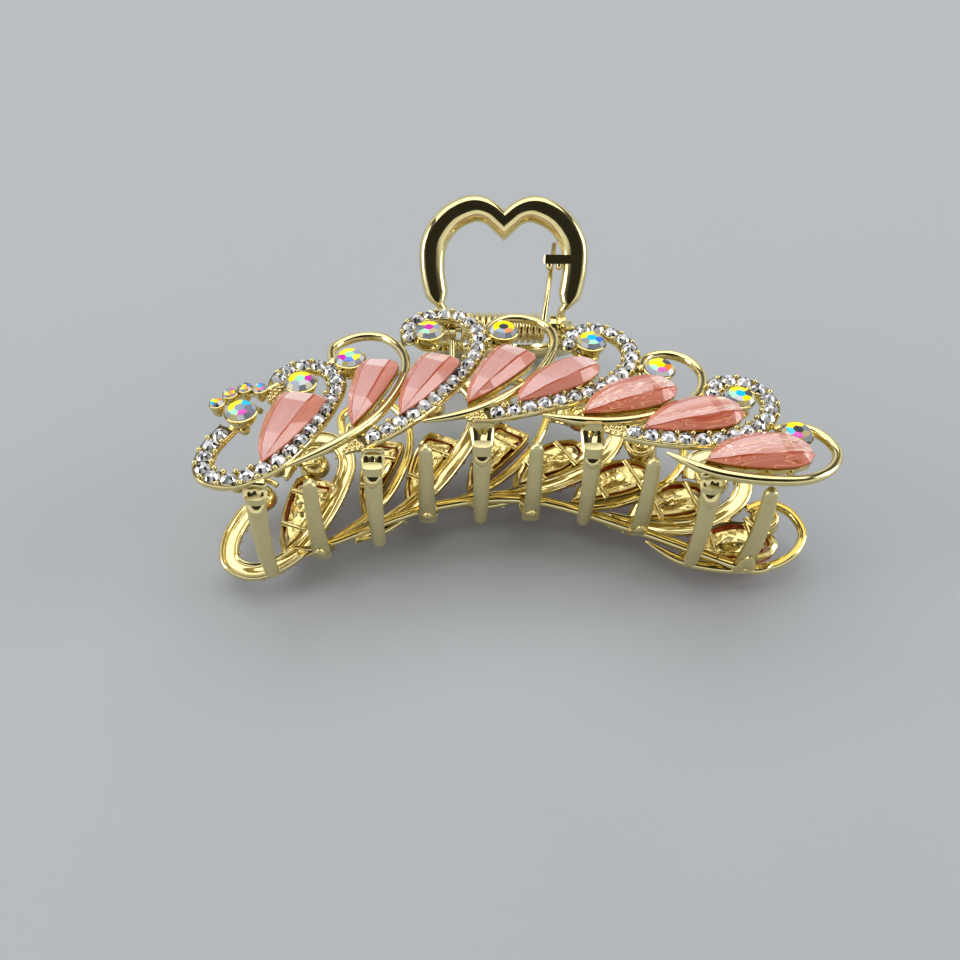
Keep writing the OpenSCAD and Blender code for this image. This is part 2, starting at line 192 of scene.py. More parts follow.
class Shape:
    """Collects vertices and faces in the jaw's own frame."""

    def __init__(self):
        self.points, self.faces, self.slots, self.smooth = [], [], [], []

    def add(self, points, faces, slot=0, smooth=True):
        base = len(self.points)
        self.points.extend(np.asarray(points, float).tolist())
        for f in faces:
            self.faces.append([base + int(i) for i in f])
            self.slots.append(slot)
            self.smooth.append(smooth)

    def rings(self, rings, slot=0, smooth=True, closed=False):
        """Skin through rings of equal length, capped unless closed on itself."""
        m, n = len(rings), len(rings[0])
        faces = []
        for i in range(m if closed else m - 1):
            j = (i + 1) % m
            for k in range(n):
                after = (k + 1) % n
                faces.append((i * n + k, i * n + after, j * n + after, j * n + k))
        if not closed:
            faces.append(tuple(range(n))[::-1])
            faces.append(tuple((m - 1) * n + k for k in range(n)))
        self.add(np.concatenate(rings), faces, slot, smooth)

    def placed(self, template, matrix, slot=None):
        """Copy of another shape, moved by a 4x4 matrix."""
        m = np.array(matrix)
        q = np.array(template.points) @ m[:3, :3].T + m[:3, 3]
        base = len(self.points)
        self.points.extend(q.tolist())
        self.faces.extend([[base + i for i in f] for f in template.faces])
        self.slots.extend(template.slots if slot is None else [slot] * len(template.faces))
        self.smooth.extend(template.smooth)

    def build(self, name, side, materials, body, tints=None):
        mesh = bpy.data.meshes.new(name)
        mesh.from_pydata(laid_down(self.points, side).tolist(), [], self.faces)
        for material in materials:
            mesh.materials.append(material)
        mesh.polygons.foreach_set("material_index", self.slots)
        mesh.polygons.foreach_set("use_smooth", self.smooth)
        if tints is not None:
            layer = mesh.attributes.new("tint", "FLOAT_COLOR", "FACE")
            layer.data.foreach_set("color", np.array(tints, np.float32).ravel())
        work = bmesh.new()
        work.from_mesh(mesh)
        bmesh.ops.recalc_face_normals(work, faces=work.faces)
        for edge in work.edges:
            edge.smooth = edge.calc_face_angle(0.0) < SHARP
        work.to_mesh(mesh)
        work.free()
        mesh.update()
        piece = bpy.data.objects.new(name, mesh)
        bpy.context.scene.collection.objects.link(piece)
        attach(piece, body)
        return piece


def across_rings(path, ups, outline, scale=None):
    """Rings of an outline, or of one outline each, along a path; ups gives the second axis."""
    path = np.array(path, float)
    ahead = np.gradient(path, axis=0)
    ahead /= np.linalg.norm(ahead, axis=1)[:, None]
    rings = []
    for i, (p, a) in enumerate(zip(path, ahead)):
        side = np.cross(a, ups[i] if len(ups) > 1 else ups[0])
        side /= np.linalg.norm(side)
        over = np.cross(side, a)
        k = (1, 1) if scale is None else scale[i]
        flat = outline[i] if isinstance(outline, list) else outline
        rings.append(p + flat[:, :1] * k[0] * side + flat[:, 1:] * k[1] * over)
    return rings


def ellipse(w, h, n):
    a = 2 * math.pi * (np.arange(n) + 0.5) / n
    return np.stack([w / 2 * np.cos(a), h / 2 * np.sin(a)], 1)


def ornament_path(points, h, steps):
    flat = curve(points, steps)
    return [on_ornament(x, y, h) for x, y in flat], [outward(x, y) for x, y in flat]


def circle_points(r, z, n, turn=0.0):
    a = 2 * math.pi * (np.arange(n) + turn) / n
    return [(r * math.cos(t), r * math.sin(t), z) for t in a]


def ball(r, rings=6, sides=8):
    """Small round bead."""
    bead = Shape()
    levels = [-r * math.cos(math.pi * (i + 0.5) / rings) for i in range(rings)]
    bead.rings([np.array(circle_points(math.sqrt(r * r - z * z), z, sides)) for z in levels])
    return bead


# ---------------------------------------------------------------- materials
def new_material(name):
    material = bpy.data.materials.new(name)
    material.use_nodes = True
    nodes = material.node_tree.nodes
    return material, nodes, material.node_tree.links, nodes["Principled BSDF"]


def metric_noise(nodes, links, scale, detail):
    """Noise in the object's own metres, so that its grain keeps one size on every piece."""
    where = nodes.new("ShaderNodeTexCoord")
    noise = nodes.new("ShaderNodeTexNoise")
    links.new(where.outputs["Object"], noise.inputs["Vector"])
    noise.inputs["Scale"].default_value = scale
    noise.inputs["Detail"].default_value = detail
    return noise


def noise_into(nodes, links, socket, scale, low, high, detail=3.0):
    """Drives a socket with noise between two values."""
    noise = metric_noise(nodes, links, scale, detail)
    ramp = nodes.new("ShaderNodeMapRange")
    ramp.inputs["From Min"].default_value = 0.3
    ramp.inputs["From Max"].default_value = 0.7
    ramp.inputs["To Min"].default_value = low
    ramp.inputs["To Max"].default_value = high
    links.new(noise.outputs["Fac"], ramp.inputs["Value"])
    links.new(ramp.outputs["Result"], socket)
    return noise


def dimple(nodes, links, shader, scale, distance):
    """Faint cast unevenness in the surface."""
    noise = metric_noise(nodes, links, scale, 2.0)
    bump = nodes.new("ShaderNodeBump")
    bump.inputs["Strength"].default_value = 1.0
    bump.inputs["Distance"].default_value = distance
    links.new(noise.outputs["Fac"], bump.inputs["Height"])
    links.new(bump.outputs["Normal"], shader.inputs["Normal"])


def colour_mix(nodes, blend="MIX"):
    mix = nodes.new("ShaderNodeMix")
    mix.data_type = "RGBA"
    mix.blend_type = blend
    return mix


def face_values(nodes, name):
    """Node that reads values stored on the mesh."""
    reader = nodes.new("ShaderNodeAttribute")
    reader.attribute_name = name
    return reader


def colour_ramp(nodes, colours):
    """Colour ramp through (position, colour) stops, given in rising order."""
    ramp = nodes.new("ShaderNodeValToRGB")
    stops = ramp.color_ramp.elements
    for end, (position, colour) in zip(stops, (colours[0], colours[-1])):
        end.position, end.color = position, (*colour, 1)
    for position, colour in colours[1:-1]:
        stops.new(position).color = (*colour, 1)
    return ramp


def gold_material(name, colour, deep, rough, cast):
    """Gold plating in two shades, with a range of roughness; cast is its dimples' scale and depth."""
    material, nodes, links, shader = new_material(name)
    shader.inputs["Metallic"].default_value = 1.0
    noise = noise_into(nodes, links, shader.inputs["Roughness"], 900.0, *rough)
    mix = colour_mix(nodes)
    mix.inputs["A"].default_value = (*colour, 1)
    mix.inputs["B"].default_value = (*deep, 1)
    links.new(noise.outputs["Fac"], mix.inputs["Factor"])
    links.new(mix.outputs["Result"], shader.inputs["Base Color"])
    dimple(nodes, links, shader, *cast)
    return material


def facet_material(name, metallic, roughness, painted_glow, coat):
    """Foil-backed cut glass: each facet shows its tint, the coating's colours and painted reflections of the
    foil behind it, and gives the same colour out as a painted glow.
    """
    material, nodes, links, shader = new_material(name)
    tint = face_values(nodes, "tint")
    links.new(tint.outputs["Color"], shader.inputs["Base Color"])
    # Painted glow: the facet's tint is given out as light, though the stone is no lamp
    links.new(tint.outputs["Color"], shader.inputs["Emission Color"])
    shader.inputs["Emission Strength"].default_value = painted_glow
    shader.inputs["Metallic"].default_value = metallic
    shader.inputs["IOR"].default_value = 1.6
    shader.inputs["Coat Weight"].default_value = coat
    shader.inputs["Coat Roughness"].default_value = 0.02
    noise_into(nodes, links, shader.inputs["Roughness"], 700.0, roughness, roughness * 2)
    return material


# Colours that multiply the pink across the streaks: those above white are painted highlights, the dark
# orange ones are painted shade, and the rest stay near the plain pink
STREAK_HIGHLIGHTS_AND_SHADE = [(0.36, (0.85, 0.50, 0.38)), (0.43, (1.0, 0.85, 0.80)), (0.465, (0.62, 0.32, 0.16)),
           (0.48, (1.5, 1.9, 1.4)), (0.50, (1.0, 0.85, 0.80)), (0.55, (1.0, 0.90, 0.88)),
           (0.565, (1.5, 2.0, 1.9)), (0.58, (0.80, 0.60, 0.45)), (0.60, (1.05, 1.05, 1.0)),
           (0.66, (1.0, 0.98, 0.95))]


def resin_material():
    """Pink resin over foil: facet tints with painted light and shade, streaks along the stone whose bright
    lines are painted highlights and dark lines painted shade, and fine glitter.
    """
    material, nodes, links, shader = new_material("pink_resin")
    tint = face_values(nodes, "tint")
    grain = face_values(nodes, "grain")
    stretch = nodes.new("ShaderNodeMapping")
    stretch.inputs["Scale"].default_value = (0.11, 1.0, 1.0)
    links.new(grain.outputs["Vector"], stretch.inputs["Vector"])
    streaks = nodes.new("ShaderNodeTexNoise")
    streaks.inputs["Scale"].default_value = 0.75
    streaks.inputs["Detail"].default_value = 1.5
    streaks.inputs["Distortion"].default_value = 0.7
    links.new(stretch.outputs["Vector"], streaks.inputs["Vector"])
    # Streak ramp: painted highlights and painted shade in lines along the stone
    lines = colour_ramp(nodes, STREAK_HIGHLIGHTS_AND_SHADE)
    links.new(streaks.outputs["Fac"], lines.inputs["Fac"])
    # The tint's alpha sets how strongly the streaks' painted highlights and shade show
    mix = colour_mix(nodes, "MULTIPLY")
    links.new(tint.outputs["Alpha"], mix.inputs["Factor"])
    links.new(tint.outputs["Color"], mix.inputs["A"])
    links.new(lines.outputs["Color"], mix.inputs["B"])
    specks = nodes.new("ShaderNodeTexVoronoi")
    specks.inputs["Scale"].default_value = 5.0
    links.new(grain.outputs["Vector"], specks.inputs["Vector"])
    spot = nodes.new("ShaderNodeMapRange")
    spot.inputs["From Min"].default_value = 0.16
    spot.inputs["From Max"].default_value = 0.02
    spot.inputs["To Max"].default_value = 0.35
    links.new(specks.outputs["Distance"], spot.inputs["Value"])
    glitter = colour_mix(nodes)
    glitter.inputs["B"].default_value = (1.0, 0.86, 0.80, 1)
    links.new(spot.outputs["Result"], glitter.inputs["Factor"])
    links.new(mix.outputs["Result"], glitter.inputs["A"])
    links.new(glitter.outputs["Result"], shader.inputs["Base Color"])
    shader.inputs["Subsurface Weight"].default_value = 0.25
    shader.inputs["Subsurface Radius"].default_value = (1.0, 0.4, 0.3)
    shader.inputs["Subsurface Scale"].default_value = 0.0015
    shader.inputs["Coat Weight"].default_value = 0.5
    shader.inputs["Coat Roughness"].default_value = 0.03
    noise_into(nodes, links, shader.inputs["Roughness"], 500.0, 0.08, 0.18)
    return material


GOLD = gold_material("polished_gold", (0.84, 0.74, 0.40), (0.74, 0.60, 0.24),
                     rough=(0.05, 0.12), cast=(500.0, 0.000012))
SATIN = gold_material("satin_gold", (0.80, 0.72, 0.40), (0.72, 0.62, 0.30),
                      rough=(0.30, 0.45), cast=(900.0, 0.00002))
INNER = gold_material("cast_inner_gold", (0.82, 0.70, 0.33), (0.70, 0.54, 0.18),
                      rough=(0.10, 0.20), cast=(500.0, 0.00012))
SPRING = gold_material("spring_gold", (0.82, 0.71, 0.38), (0.74, 0.60, 0.26),
                       rough=(0.14, 0.22), cast=(900.0, 0.00002))
CLEAR = facet_material("clear_rhinestone", metallic=0.5, roughness=0.05, painted_glow=0.08, coat=0.4)
RAINBOW = facet_material("rainbow_rhinestone", metallic=0.0, roughness=0.06, painted_glow=0.25, coat=0.15)
PINK = resin_material()


# ---------------------------------------------------------------- castings of one jaw
# Beads at a strip's start: how far back from its first point, and how far to the side
START_BEADS = [(0.45, 0.65), (0.45, 0), (0.45, -0.65), (1.15, 0.4), (1.15, -0.4), (1.85, 0.3),
               (1.85, -0.3), (2.5, 0)]


def wire_loop(shape, points, d=WIRE_D, h=-0.2, steps=14):
    """Wire along the ornament surface: round above, hollow underneath, with rounded ends."""
    path, ups = ornament_path(points, h, steps)
    over = np.radians(np.linspace(-50, 230, 19))
    under = np.radians(np.linspace(215, -35, 9))
    section = np.vstack([np.stack([np.cos(over), np.sin(over)], 1) * d / 2,
                         np.stack([0.55 * np.cos(under), 0.75 * np.sin(under) - 0.45], 1) * d / 2])
    ends = np.interp(np.arange(len(path)), [0, 12, len(path) - 4, len(path) - 1], [0.3, 1, 1, 0.5])
    shape.rings(across_rings(path, ups, section, [(e, e) for e in ends]))


def stone_strip(shape, points):
    """Channel with a hollow underside, a bead between each two stones, and beads at its start."""
    half, wall = STRIP_W / 2, STRIP_WALL
    inside = PAVE_D / 2 + 0.08
    foot = half - 0.75
    low = wall - STRIP_T
    right = [(inside, 0), (inside, wall - 0.1), (half - 0.15, wall - 0.1), (half, wall - 0.3),
             (half, low + 0.35), (half * 0.93, low + 0.12), (half * 0.8, low), (half * 0.67, low + 0.03),
             (half * 0.55, low + 0.18), (foot, low + 0.4), (foot * 0.7, -0.2)]
    section = np.array([(-x, z) for x, z in right[::-1]] + right)
    path, ups = ornament_path(points, 0, 12)
    shape.rings(across_rings(path, ups, section))
    bead = ball(0.36)
    between = spaced(points, PAVE_PITCH, PAVE_D)
    middles = (between[1:] + between[:-1]) / 2
    along = between[1:] - between[:-1]
    for (x, y), (ax, ay) in zip(middles, along):
        length = math.hypot(ax, ay)
        for aside in (-1, 1):
            off = aside * (half - 0.28) / length
            place = on_ornament(x - ay * off, y + ax * off, wall + 0.05)
            shape.placed(bead, Matrix.Translation(Vector(place)))
    start = np.array(points[0])
    back = start - points[1]
    back /= np.linalg.norm(back)
    aside = np.array([-back[1], back[0]])
    ends = [on_ornament(*(start + back * far), -0.35) for far in (-0.3, 1.2, 2.6)]
    shape.rings(across_rings(ends, [outward(*start)], ellipse(1.9, 0.7, 12), [(1, 1), (0.9, 1), (0.5, 1)]))
    for far, off in START_BEADS:
        place = on_ornament(*(start + back * far + aside * off), -0.05)
        shape.placed(bead, Matrix.Translation(Vector(place)))


def round_setting(shape, at, stone_d, cup_d, h, scroll):
    """Cup that holds a round stone, with a domed back that may have a scroll and a ball on it."""
    r, outer = stone_d / 2, cup_d / 2
    profile = [(0.05, -1.45), (outer * 0.4, -1.35), (outer * 0.65, -0.95), (outer * 0.8, -0.4),
               (r * 1.08, h), (r * 1.1, h + 0.35), (r, h + 0.4), (r * 0.97, h - 0.05), (0.05, h - 0.1)]
    cup = Shape()
    cup.rings([np.array(circle_points(q, z, 28)) for q, z in profile])
    if scroll:
        steps = 24
        turn = np.linspace(0.3, 4.6, steps)
        reach = np.linspace(outer * 1.15, outer * 0.35, steps)
        drop = np.linspace(-0.6, -1.7, steps)
        spiral = np.stack([reach * np.cos(turn), reach * np.sin(turn), drop], 1)
        tube(cup, spiral, 0.85, 10, (0, 0, 1))
        cup.placed(ball(0.75, 8, 12), Matrix.Translation(Vector(spiral[-1])))
    shape.placed(cup, seat(*at, 0, 90 + 2 * at[0]))


# Half outlines of a drop stone, from its tip: the first four end squarely, the others end round
DROP_LEFT = {
    "square": [(0, 0), (2.2, 1.5), (4.4, 2.4), (6.6, 3.05), (8.8, 3.5), (11, 3.65), (12.9, 3.5),
               (13.7, 2.9)],
    "round": [(0, 0), (1.6, 1.5), (3.8, 2.8), (6.2, 3.6), (8.6, 3.85), (11, 3.4), (13, 2.3), (14.1, 0.8)],
}
DROP_RIGHT = {
    "square": [(0, 0), (2.2, -0.9), (4.4, -1.6), (6.6, -2.1), (8.8, -2.5), (11, -2.8), (13.3, -2.9),
               (14.1, -2.3)],
    "round": [(0, 0), (2, -0.8), (4.2, -1.4), (6.4, -1.8), (8.6, -2.1), (11, -2.1), (13, -1.6),
              (14.2, -0.5)],
}
DROP_MIDDLE = np.array([7.4, 0.4])
# Rings of a drop's seat, as a share of the outline and a height; each tie's place, right end and left end
RIM_RINGS = [(0.99, DROP_SEAT + 0.2), (1.0, -0.3), (0.9, -0.7), (0.82, -0.5), (0.84, DROP_SEAT - 0.1)]
BACK_RINGS = [(0.74, DROP_SEAT - 0.1), (0.76, -0.45), (0.62, -0.85), (0.4, -0.7), (0.22, -1.05),
              (0.06, -1.1)]
TIES = [(5, -1.5, 2.3), (10.6, -2.2, 2.9)]


def drop_kind(i):
    """Kind of outline of drop stone i, counted from 0."""
    return "square" if i < 4 else "round"


def drop_setting(shape, i, rng):
    """Seat under a drop stone: a rim, ties across, and a knobbly back that leaves gaps beside it."""
    x, y, turn, width = DROPS[i]
    kind = drop_kind(i)
    outline = np.array(DROP_LEFT[kind] + DROP_RIGHT[kind][:0:-1]) * [1, width]
    gallery = Shape()
    rim = [np.column_stack([DROP_MIDDLE + (outline - DROP_MIDDLE) * k, np.full(len(outline), h)])
           for k, h in RIM_RINGS]
    gallery.rings(rim, closed=True)
    back = []
    for k, h in BACK_RINGS:
        ring = DROP_MIDDLE + (outline - DROP_MIDDLE) * [k, k * 0.9]
        back.append(np.column_stack([ring, [h + rng.uniform(-0.16, 0.16) for _ in ring]]))
    gallery.rings(back)
    for station, right, left in TIES:
        tie = [(station, w * width, -0.45) for w in (right, 0, left)]
        tube(gallery, curve(tie, 3), 1.0, 10, (0, 0, 1))
    shape.placed(gallery, seat(x, y, 0, turn))


def tooth(shape, x, y):
    """Satin blade with a gently crowned face and a rounded tip, bowed a little outward."""
    z_root = ornament_z(x, y) - 1.7
    stations = 30
    rings = []
    for i in range(stations + 1):
        s = i / stations
        z = z_root + (-TOOTH_REACH - z_root) * (1 - (1 - s) ** 1.4)
        left = (z + TOOTH_REACH) / (TOOTH_TIP_W / 2)
        end = math.sqrt(max(0.02, 1 - (1 - left) ** 2)) if left < 1 else 1.0
        along = (z - z_root) / (-TOOTH_REACH - z_root)
        w = (TOOTH_W + (TOOTH_TIP_W - TOOTH_W) * along) * end / 2
        t = TOOTH_T / 2 * (0.6 + 0.4 * end)
        bow = y - 0.35 - 1.0 * math.sin(math.pi * along) - 0.35 * along * along
        u = np.linspace(-1, 1, 9)
        face = np.stack([x + u * w, bow - t * (1 - 0.55 * np.abs(u) ** 3), np.full(9, z)], 1)
        back = [(x + w * 0.9, bow + t * 0.7, z), (x + w * 0.55, bow + t, z), (x - w * 0.55, bow + t, z),
                (x - w * 0.9, bow + t * 0.7, z)]
        rings.append(np.vstack([face, back]))
    shape.rings(rings)


def knuckle(shape, x, y, edge):
    """Polished nib that bends over from the loops' edge and narrows to a point on the tooth's face."""
    top = ornament_z(x, edge)
    inside = min(edge + 0.4, y + 1.4)
    path = curve([(x, inside, top - 0.15), (x, edge - 0.35, top - 0.4), (x, edge - 0.5, top - 1.1),
                  (x, (edge + y) / 2 - 1.0, top - 2.3), (x, y - 1.45, top - 3.5),
                  (x, y - 1.6, top - 4.5)], 5)
    u = np.linspace(-1, 1, 13)
    outlines = []
    for i in range(len(path)):
        s = i / (len(path) - 1)
        w = np.interp(s, [0, 0.3, 0.5, 0.7, 0.9, 1], [1.2, 1.55, 1.5, 1.2, 0.55, 0.12])
        crown = np.interp(s, [0, 0.3, 0.8, 1], [0.2, 0.4, 0.4, 0.1])
        valley = 0.45 * math.exp(-((s - 0.42) / 0.16) ** 2) * np.exp(-(u / 0.35) ** 2)
        face = crown * np.sqrt(1 - 0.999 * u ** 2) - valley
        outlines.append(np.vstack([np.stack([face, u * w], 1), [(-0.7, w * 0.8), (-0.7, -w * 0.8)]]))
    shape.rings(across_rings(path, [np.array([1.0, 0, 0])], outlines))


def edge_rail(shape, side):
    """Round rail under the loops' lower edge, from which the teeth grow."""
    roots = [(x, edge + 0.2) for x, _, edge in TEETH[side]]
    left_end = (roots[0][0] - 4, roots[0][1] - 0.5)
    right_end = (roots[-1][0] + 4, roots[-1][1] + 0.3)
    wire_loop(shape, [left_end] + roots + [right_end], 1.5, -0.9, 6)


def heart_band(shape, lug_x):
    """Polished band bent to a heart with a sharp notch; each side narrows down to its lug."""
    steps, foot_steps = 16, 12
    flat = curve(HEART_HALF, steps)
    foot = curve([flat[-1 - steps], flat[-1], (lug_x, -0.4), (lug_x, -2.9)], foot_steps)[foot_steps:]
    flat = np.vstack([flat, foot[1:]])
    sunk = np.clip((1.6 - flat[:, 1]) / 4.5, 0, 1)
    depth = -1.16 * sunk * sunk * (3 - 2 * sunk)
    path = lever_plane(np.column_stack([flat, depth]))
    normal = lever_plane([(0, 0, 1)])[0] - lever_plane([(0, 0, 0)])[0]
    u = np.linspace(-1, 1, 17)
    from_crest = (u - CREST) / np.where(u > CREST, 1 - CREST, 1 + CREST)
    crown = np.sqrt(1 - 0.999 * np.abs(from_crest) ** 2.2)
    face = np.stack([u * BAND_W / 2, -0.35 + BAND_T * 0.58 * crown], 1)
    back = np.array([(0.5, -0.46), (0.44, -0.5), (-0.44, -0.5), (-0.5, -0.46)])
    section = np.vstack([face, back * [BAND_W * 0.96, BAND_T * 0.9]])
    width = np.interp(np.arange(len(path)) / steps, *zip(*HEART_WIDTHS))
    rings = across_rings(path, [normal], section, [(w, 1.0) for w in width])
    first = next(i for i, ring in enumerate(rings) if ring[:, 0].min() > 0.05)
    ahead = path[first + 1] - path[first]
    mitre = rings[first] - ahead * rings[first][:, :1] / ahead[0]
    for flip in (1, -1):
        shape.rings([ring * [flip, 1, 1] for ring in [mitre] + rings[first:]])


def tube(shape, path, d, sides=14, up=(1, 0, 0)):
    shape.rings(across_rings(path, [np.array(up, float)], ellipse(d, d, sides)))


def drum(shape, x_from, x_to, d, sides=36):
    """Cylinder on the hinge axis with bevelled rims."""
    r_full, bevel = d / 2, 0.15
    profile = [(x_from, r_full - bevel), (x_from + bevel, r_full), (x_to - bevel, r_full),
               (x_to, r_full - bevel)]
    a = 2 * math.pi * np.arange(sides) / sides
    rings = []
    for x, r in profile:
        rings.append(np.stack([np.full(sides, x), r * np.cos(a), r * np.sin(a)], 1))
    shape.rings(rings, smooth=False)


def hinge_side(shape, x_from, x_to, points):
    """Lugs on the hinge axis, and arms from them down to the loops."""
    for flip, (px, py) in zip((-1, 1), points):
        inner, outer = (x_from, x_to) if flip > 0 else (-x_to, -x_from)
        drum(shape, inner, outer, LUG_D)
        middle = (inner + outer) / 2
        end = on_ornament(px, py, -0.4)
        bend = (middle + 0.3 * (end[0] - middle), -0.3 * abs(end[1]) - 0.6, end[2] * 0.45)
        arm = curve([(middle, 0, 0), bend, tuple(end)], 8)
        shape.rings(across_rings(arm, [np.array([1.0, 0, 0])], ellipse(2.2, x_to - x_from, 16)))


# Spring catch in the lever's plane: its two ends, its two edges, and its two faces
CATCH_X, CATCH_Y, CATCH_Z = (6.2, 10.4), (6.9, 8.3), (-0.4, 1.1)
BUMP_XS, BUMP_R, BUMP_Z = (7.1, 8.6), 0.5, 0.35
BUMP_PROFILE = [(8.2, 1), (6.6, 1), (6.2, 0.9), (6.0, 0.5)]


def spring_catch(shape, flip):
    """Block across the band's inner edge, with the two small bumps under it."""
    lo, hi = sorted((flip * CATCH_X[0], flip * CATCH_X[1]))
    bevel = 0.15
    block = []
    for x, c in ((lo, bevel), (lo + bevel, 0), (hi, 0)):
        low_y, high_y = CATCH_Y[0] + c, CATCH_Y[1] - c
        low_z, high_z = CATCH_Z[0] + c, CATCH_Z[1] - c
        block.append(lever_plane([(x, low_y, low_z), (x, high_y, low_z), (x, high_y, high_z),
                                  (x, low_y, high_z)]))
    shape.rings(block, smooth=False)
    turn = np.arange(12) * math.pi / 6
    for bump_x in BUMP_XS:
        bump = []
        for y, share in BUMP_PROFILE:
            r = BUMP_R * share
            bump.append(lever_plane([(flip * bump_x + r * math.cos(a), y, BUMP_Z + r * math.sin(a))
                                     for a in turn]))
        shape.rings(bump)


# Lugs' inner and outer faces, where the arms meet the ornament, and the catch's side, per jaw
SIDES = {
    "rear": {"lug": (7.3, 8.4), "arms": [(-7.85, -5.6), (7.85, -12.4)], "catch": -1},
    "front": {"lug": (8.5, 9.9), "arms": [(-10.3, -5.6), (10.4, -9.2)], "catch": 1},
}


def castings(side):
    node = side + "_jaw"
    made = []

    def piece(name, material, shape):
        made.append(shape.build(side + "_" + name, side, [material], side))

    loops = Shape()
    for n in (2, 4, 6, 8):
        wire_loop(loops, LOOPS[n])
    wire_loop(loops, ACCENT_STONES + [(-31, -21)], 1.1)
    piece("wire_loops", GOLD, loops)

    strips = Shape()
    for n in (1, 3, 5, 7):
        stone_strip(strips, LOOPS[n])
    piece("stone_strips", GOLD, strips)

    settings = Shape()
    rng = random.Random(3)
    for at in ROUND_STONES:
        round_setting(settings, at, CHATON_D, CUP_D, CHATON_SEAT, True)
    for at in ACCENT_STONES:
        round_setting(settings, at, ACCENT_D, ACCENT_CUP_D, ACCENT_SEAT, False)
    for i in range(len(DROPS)):
        drop_setting(settings, i, rng)
    piece("settings", INNER, settings)

    noses = Shape()
    if side == "rear":
        edge_rail(noses, side)
    for x, y, edge in TEETH[side]:
        knuckle(noses, x, y, edge)
    piece("tooth_roots", GOLD, noses)

    blades = Shape()
    for x, y, _ in TEETH[side]:
        tooth(blades, x, y)
    piece("teeth", SATIN, blades)

    lever = Shape()
    heart_band(lever, sum(SIDES[side]["lug"]) / 2)
    hinge_side(lever, *SIDES[side]["lug"], SIDES[side]["arms"])
    spring_catch(lever, SIDES[side]["catch"])
    piece("heart_lever", GOLD, lever)
    for each in made:
        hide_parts(node)


# ---------------------------------------------------------------- stones
def brilliant(r, h):
    """Small cut stone: 16-sided girdle, crown facets, and a table of 8 facets that meet in its middle."""
    gem = Shape()
    sides, table_sides = 16, 8
    points = circle_points(r, 0, sides) + circle_points(r, h * 0.4, sides)
    points += circle_points(r * 0.6, h * 0.95, table_sides) + [(0, 0, h)]
    table = 2 * sides
    middle = table + table_sides
    faces = [(k, (k + 1) % sides, sides + (k + 1) % sides, sides + k) for k in range(sides)]
    for k in range(table_sides):
        t0, t1 = table + k, table + (k + 1) % table_sides
        g0, g1, g2 = sides + 2 * k, sides + 2 * k + 1, sides + (2 * k + 2) % sides
        faces += [(t0, g0, g1), (t0, g1, t1), (t1, g1, g2), (t0, t1, middle)]
    gem.add(points, faces, 0, False)
    return gem


def chaton(r, h):
    """Large cut stone: a ring of patches round a middle one, inside a ring of crown facets."""
    gem = Shape()
    sides, patches = 12, 6
    points = circle_points(r, 0, sides) + circle_points(r, h * 0.45, sides)
    points += circle_points(r * 0.78, h * 0.92, sides) + circle_points(r * 0.36, h, patches, 0.5)
    crown, table, inner = sides, 2 * sides, 3 * sides
    faces = [(k, (k + 1) % sides, crown + (k + 1) % sides, crown + k) for k in range(sides)]
    faces += [(crown + k, crown + (k + 1) % sides, table + (k + 1) % sides, table + k)
              for k in range(sides)]
    for k in range(patches):
        rim = [table + (2 * k + step) % sides for step in (1, 2, 3)]
        faces.append((inner + k, *rim, inner + (k + 1) % patches))
    faces.append(tuple(range(inner, inner + patches)))
    gem.add(points, faces, 0, False)
    return gem


def drop_gem(kind, width):
    """Drop stone: a long middle facet between two narrow facets painted dark as shade, one at its end
    painted pale as light, and steep sides.
    """
    left = np.array(DROP_LEFT[kind]) * [1, width]
    right = np.array(DROP_RIGHT[kind]) * [1, width]
    if kind == "round":
        left, right = curve(left, 2), curve(right, 2)
    lift = np.interp(left[:, 0], [0, 2, 4.2, 10, 12, 14.1], [0.6, 1.2, 1.75, 2.1, 1.9, 1.1])
    n = len(left)

    def inner(half, share):
        row = half * [1, share]
        row[0], row[-1, 0] = (0.5, 0), row[-1, 0] - 0.4
        return row

    # Rows along the stone: outline, height, and how far each draws in; a part lies between two rows
    rows = [(left, 0.0, 0.88), (left, 0.4, 1.0), (left, 0.7, 1.0), (inner(left, 0.62), lift - 0.12, 1.0),
            (inner(left, 0.53), lift, 1.0), (inner(right, 0.45), lift, 1.0),
            (inner(right, 0.55), lift - 0.12, 1.0), (right, 0.7, 1.0), (right, 0.4, 1.0),
            (right, 0.0, 0.88)]
    between_rows = ["under", "girdle", "left", "line", "top", "line", "right", "girdle", "under"]
    middle = 7.2
    points = []
    for flat, h, share in rows:
        for (x, y), z in zip(flat, np.broadcast_to(h, n)):
            points.append((middle + (x - middle) * share, y * share, z))
    gem = Shape()
    faces, parts = [], []
    for row, part in enumerate(between_rows):
        for i in range(n - 1):
            near, far = row * n + i, (row + 1) * n + i
            faces.append((near, near + 1, far + 1, far))
            at = left[i][0]
            band = "tip" if 1 < at < 3.5 else "end" if at > 10.5 else part
            parts.append(band if part == "top" else part)
    last = len(rows) - 1
    faces.append(tuple(row * n + n - 1 for row in range(last + 1)))
    parts.append("end")
    faces.append(tuple(row * n for row in range(last, -1, -1)))
    parts.append("girdle")
    faces.append(tuple(range(n))[::-1] + tuple(last * n + i for i in range(n)))
    parts.append("under")
    gem.add(points, faces, 0, False)
    return gem, parts


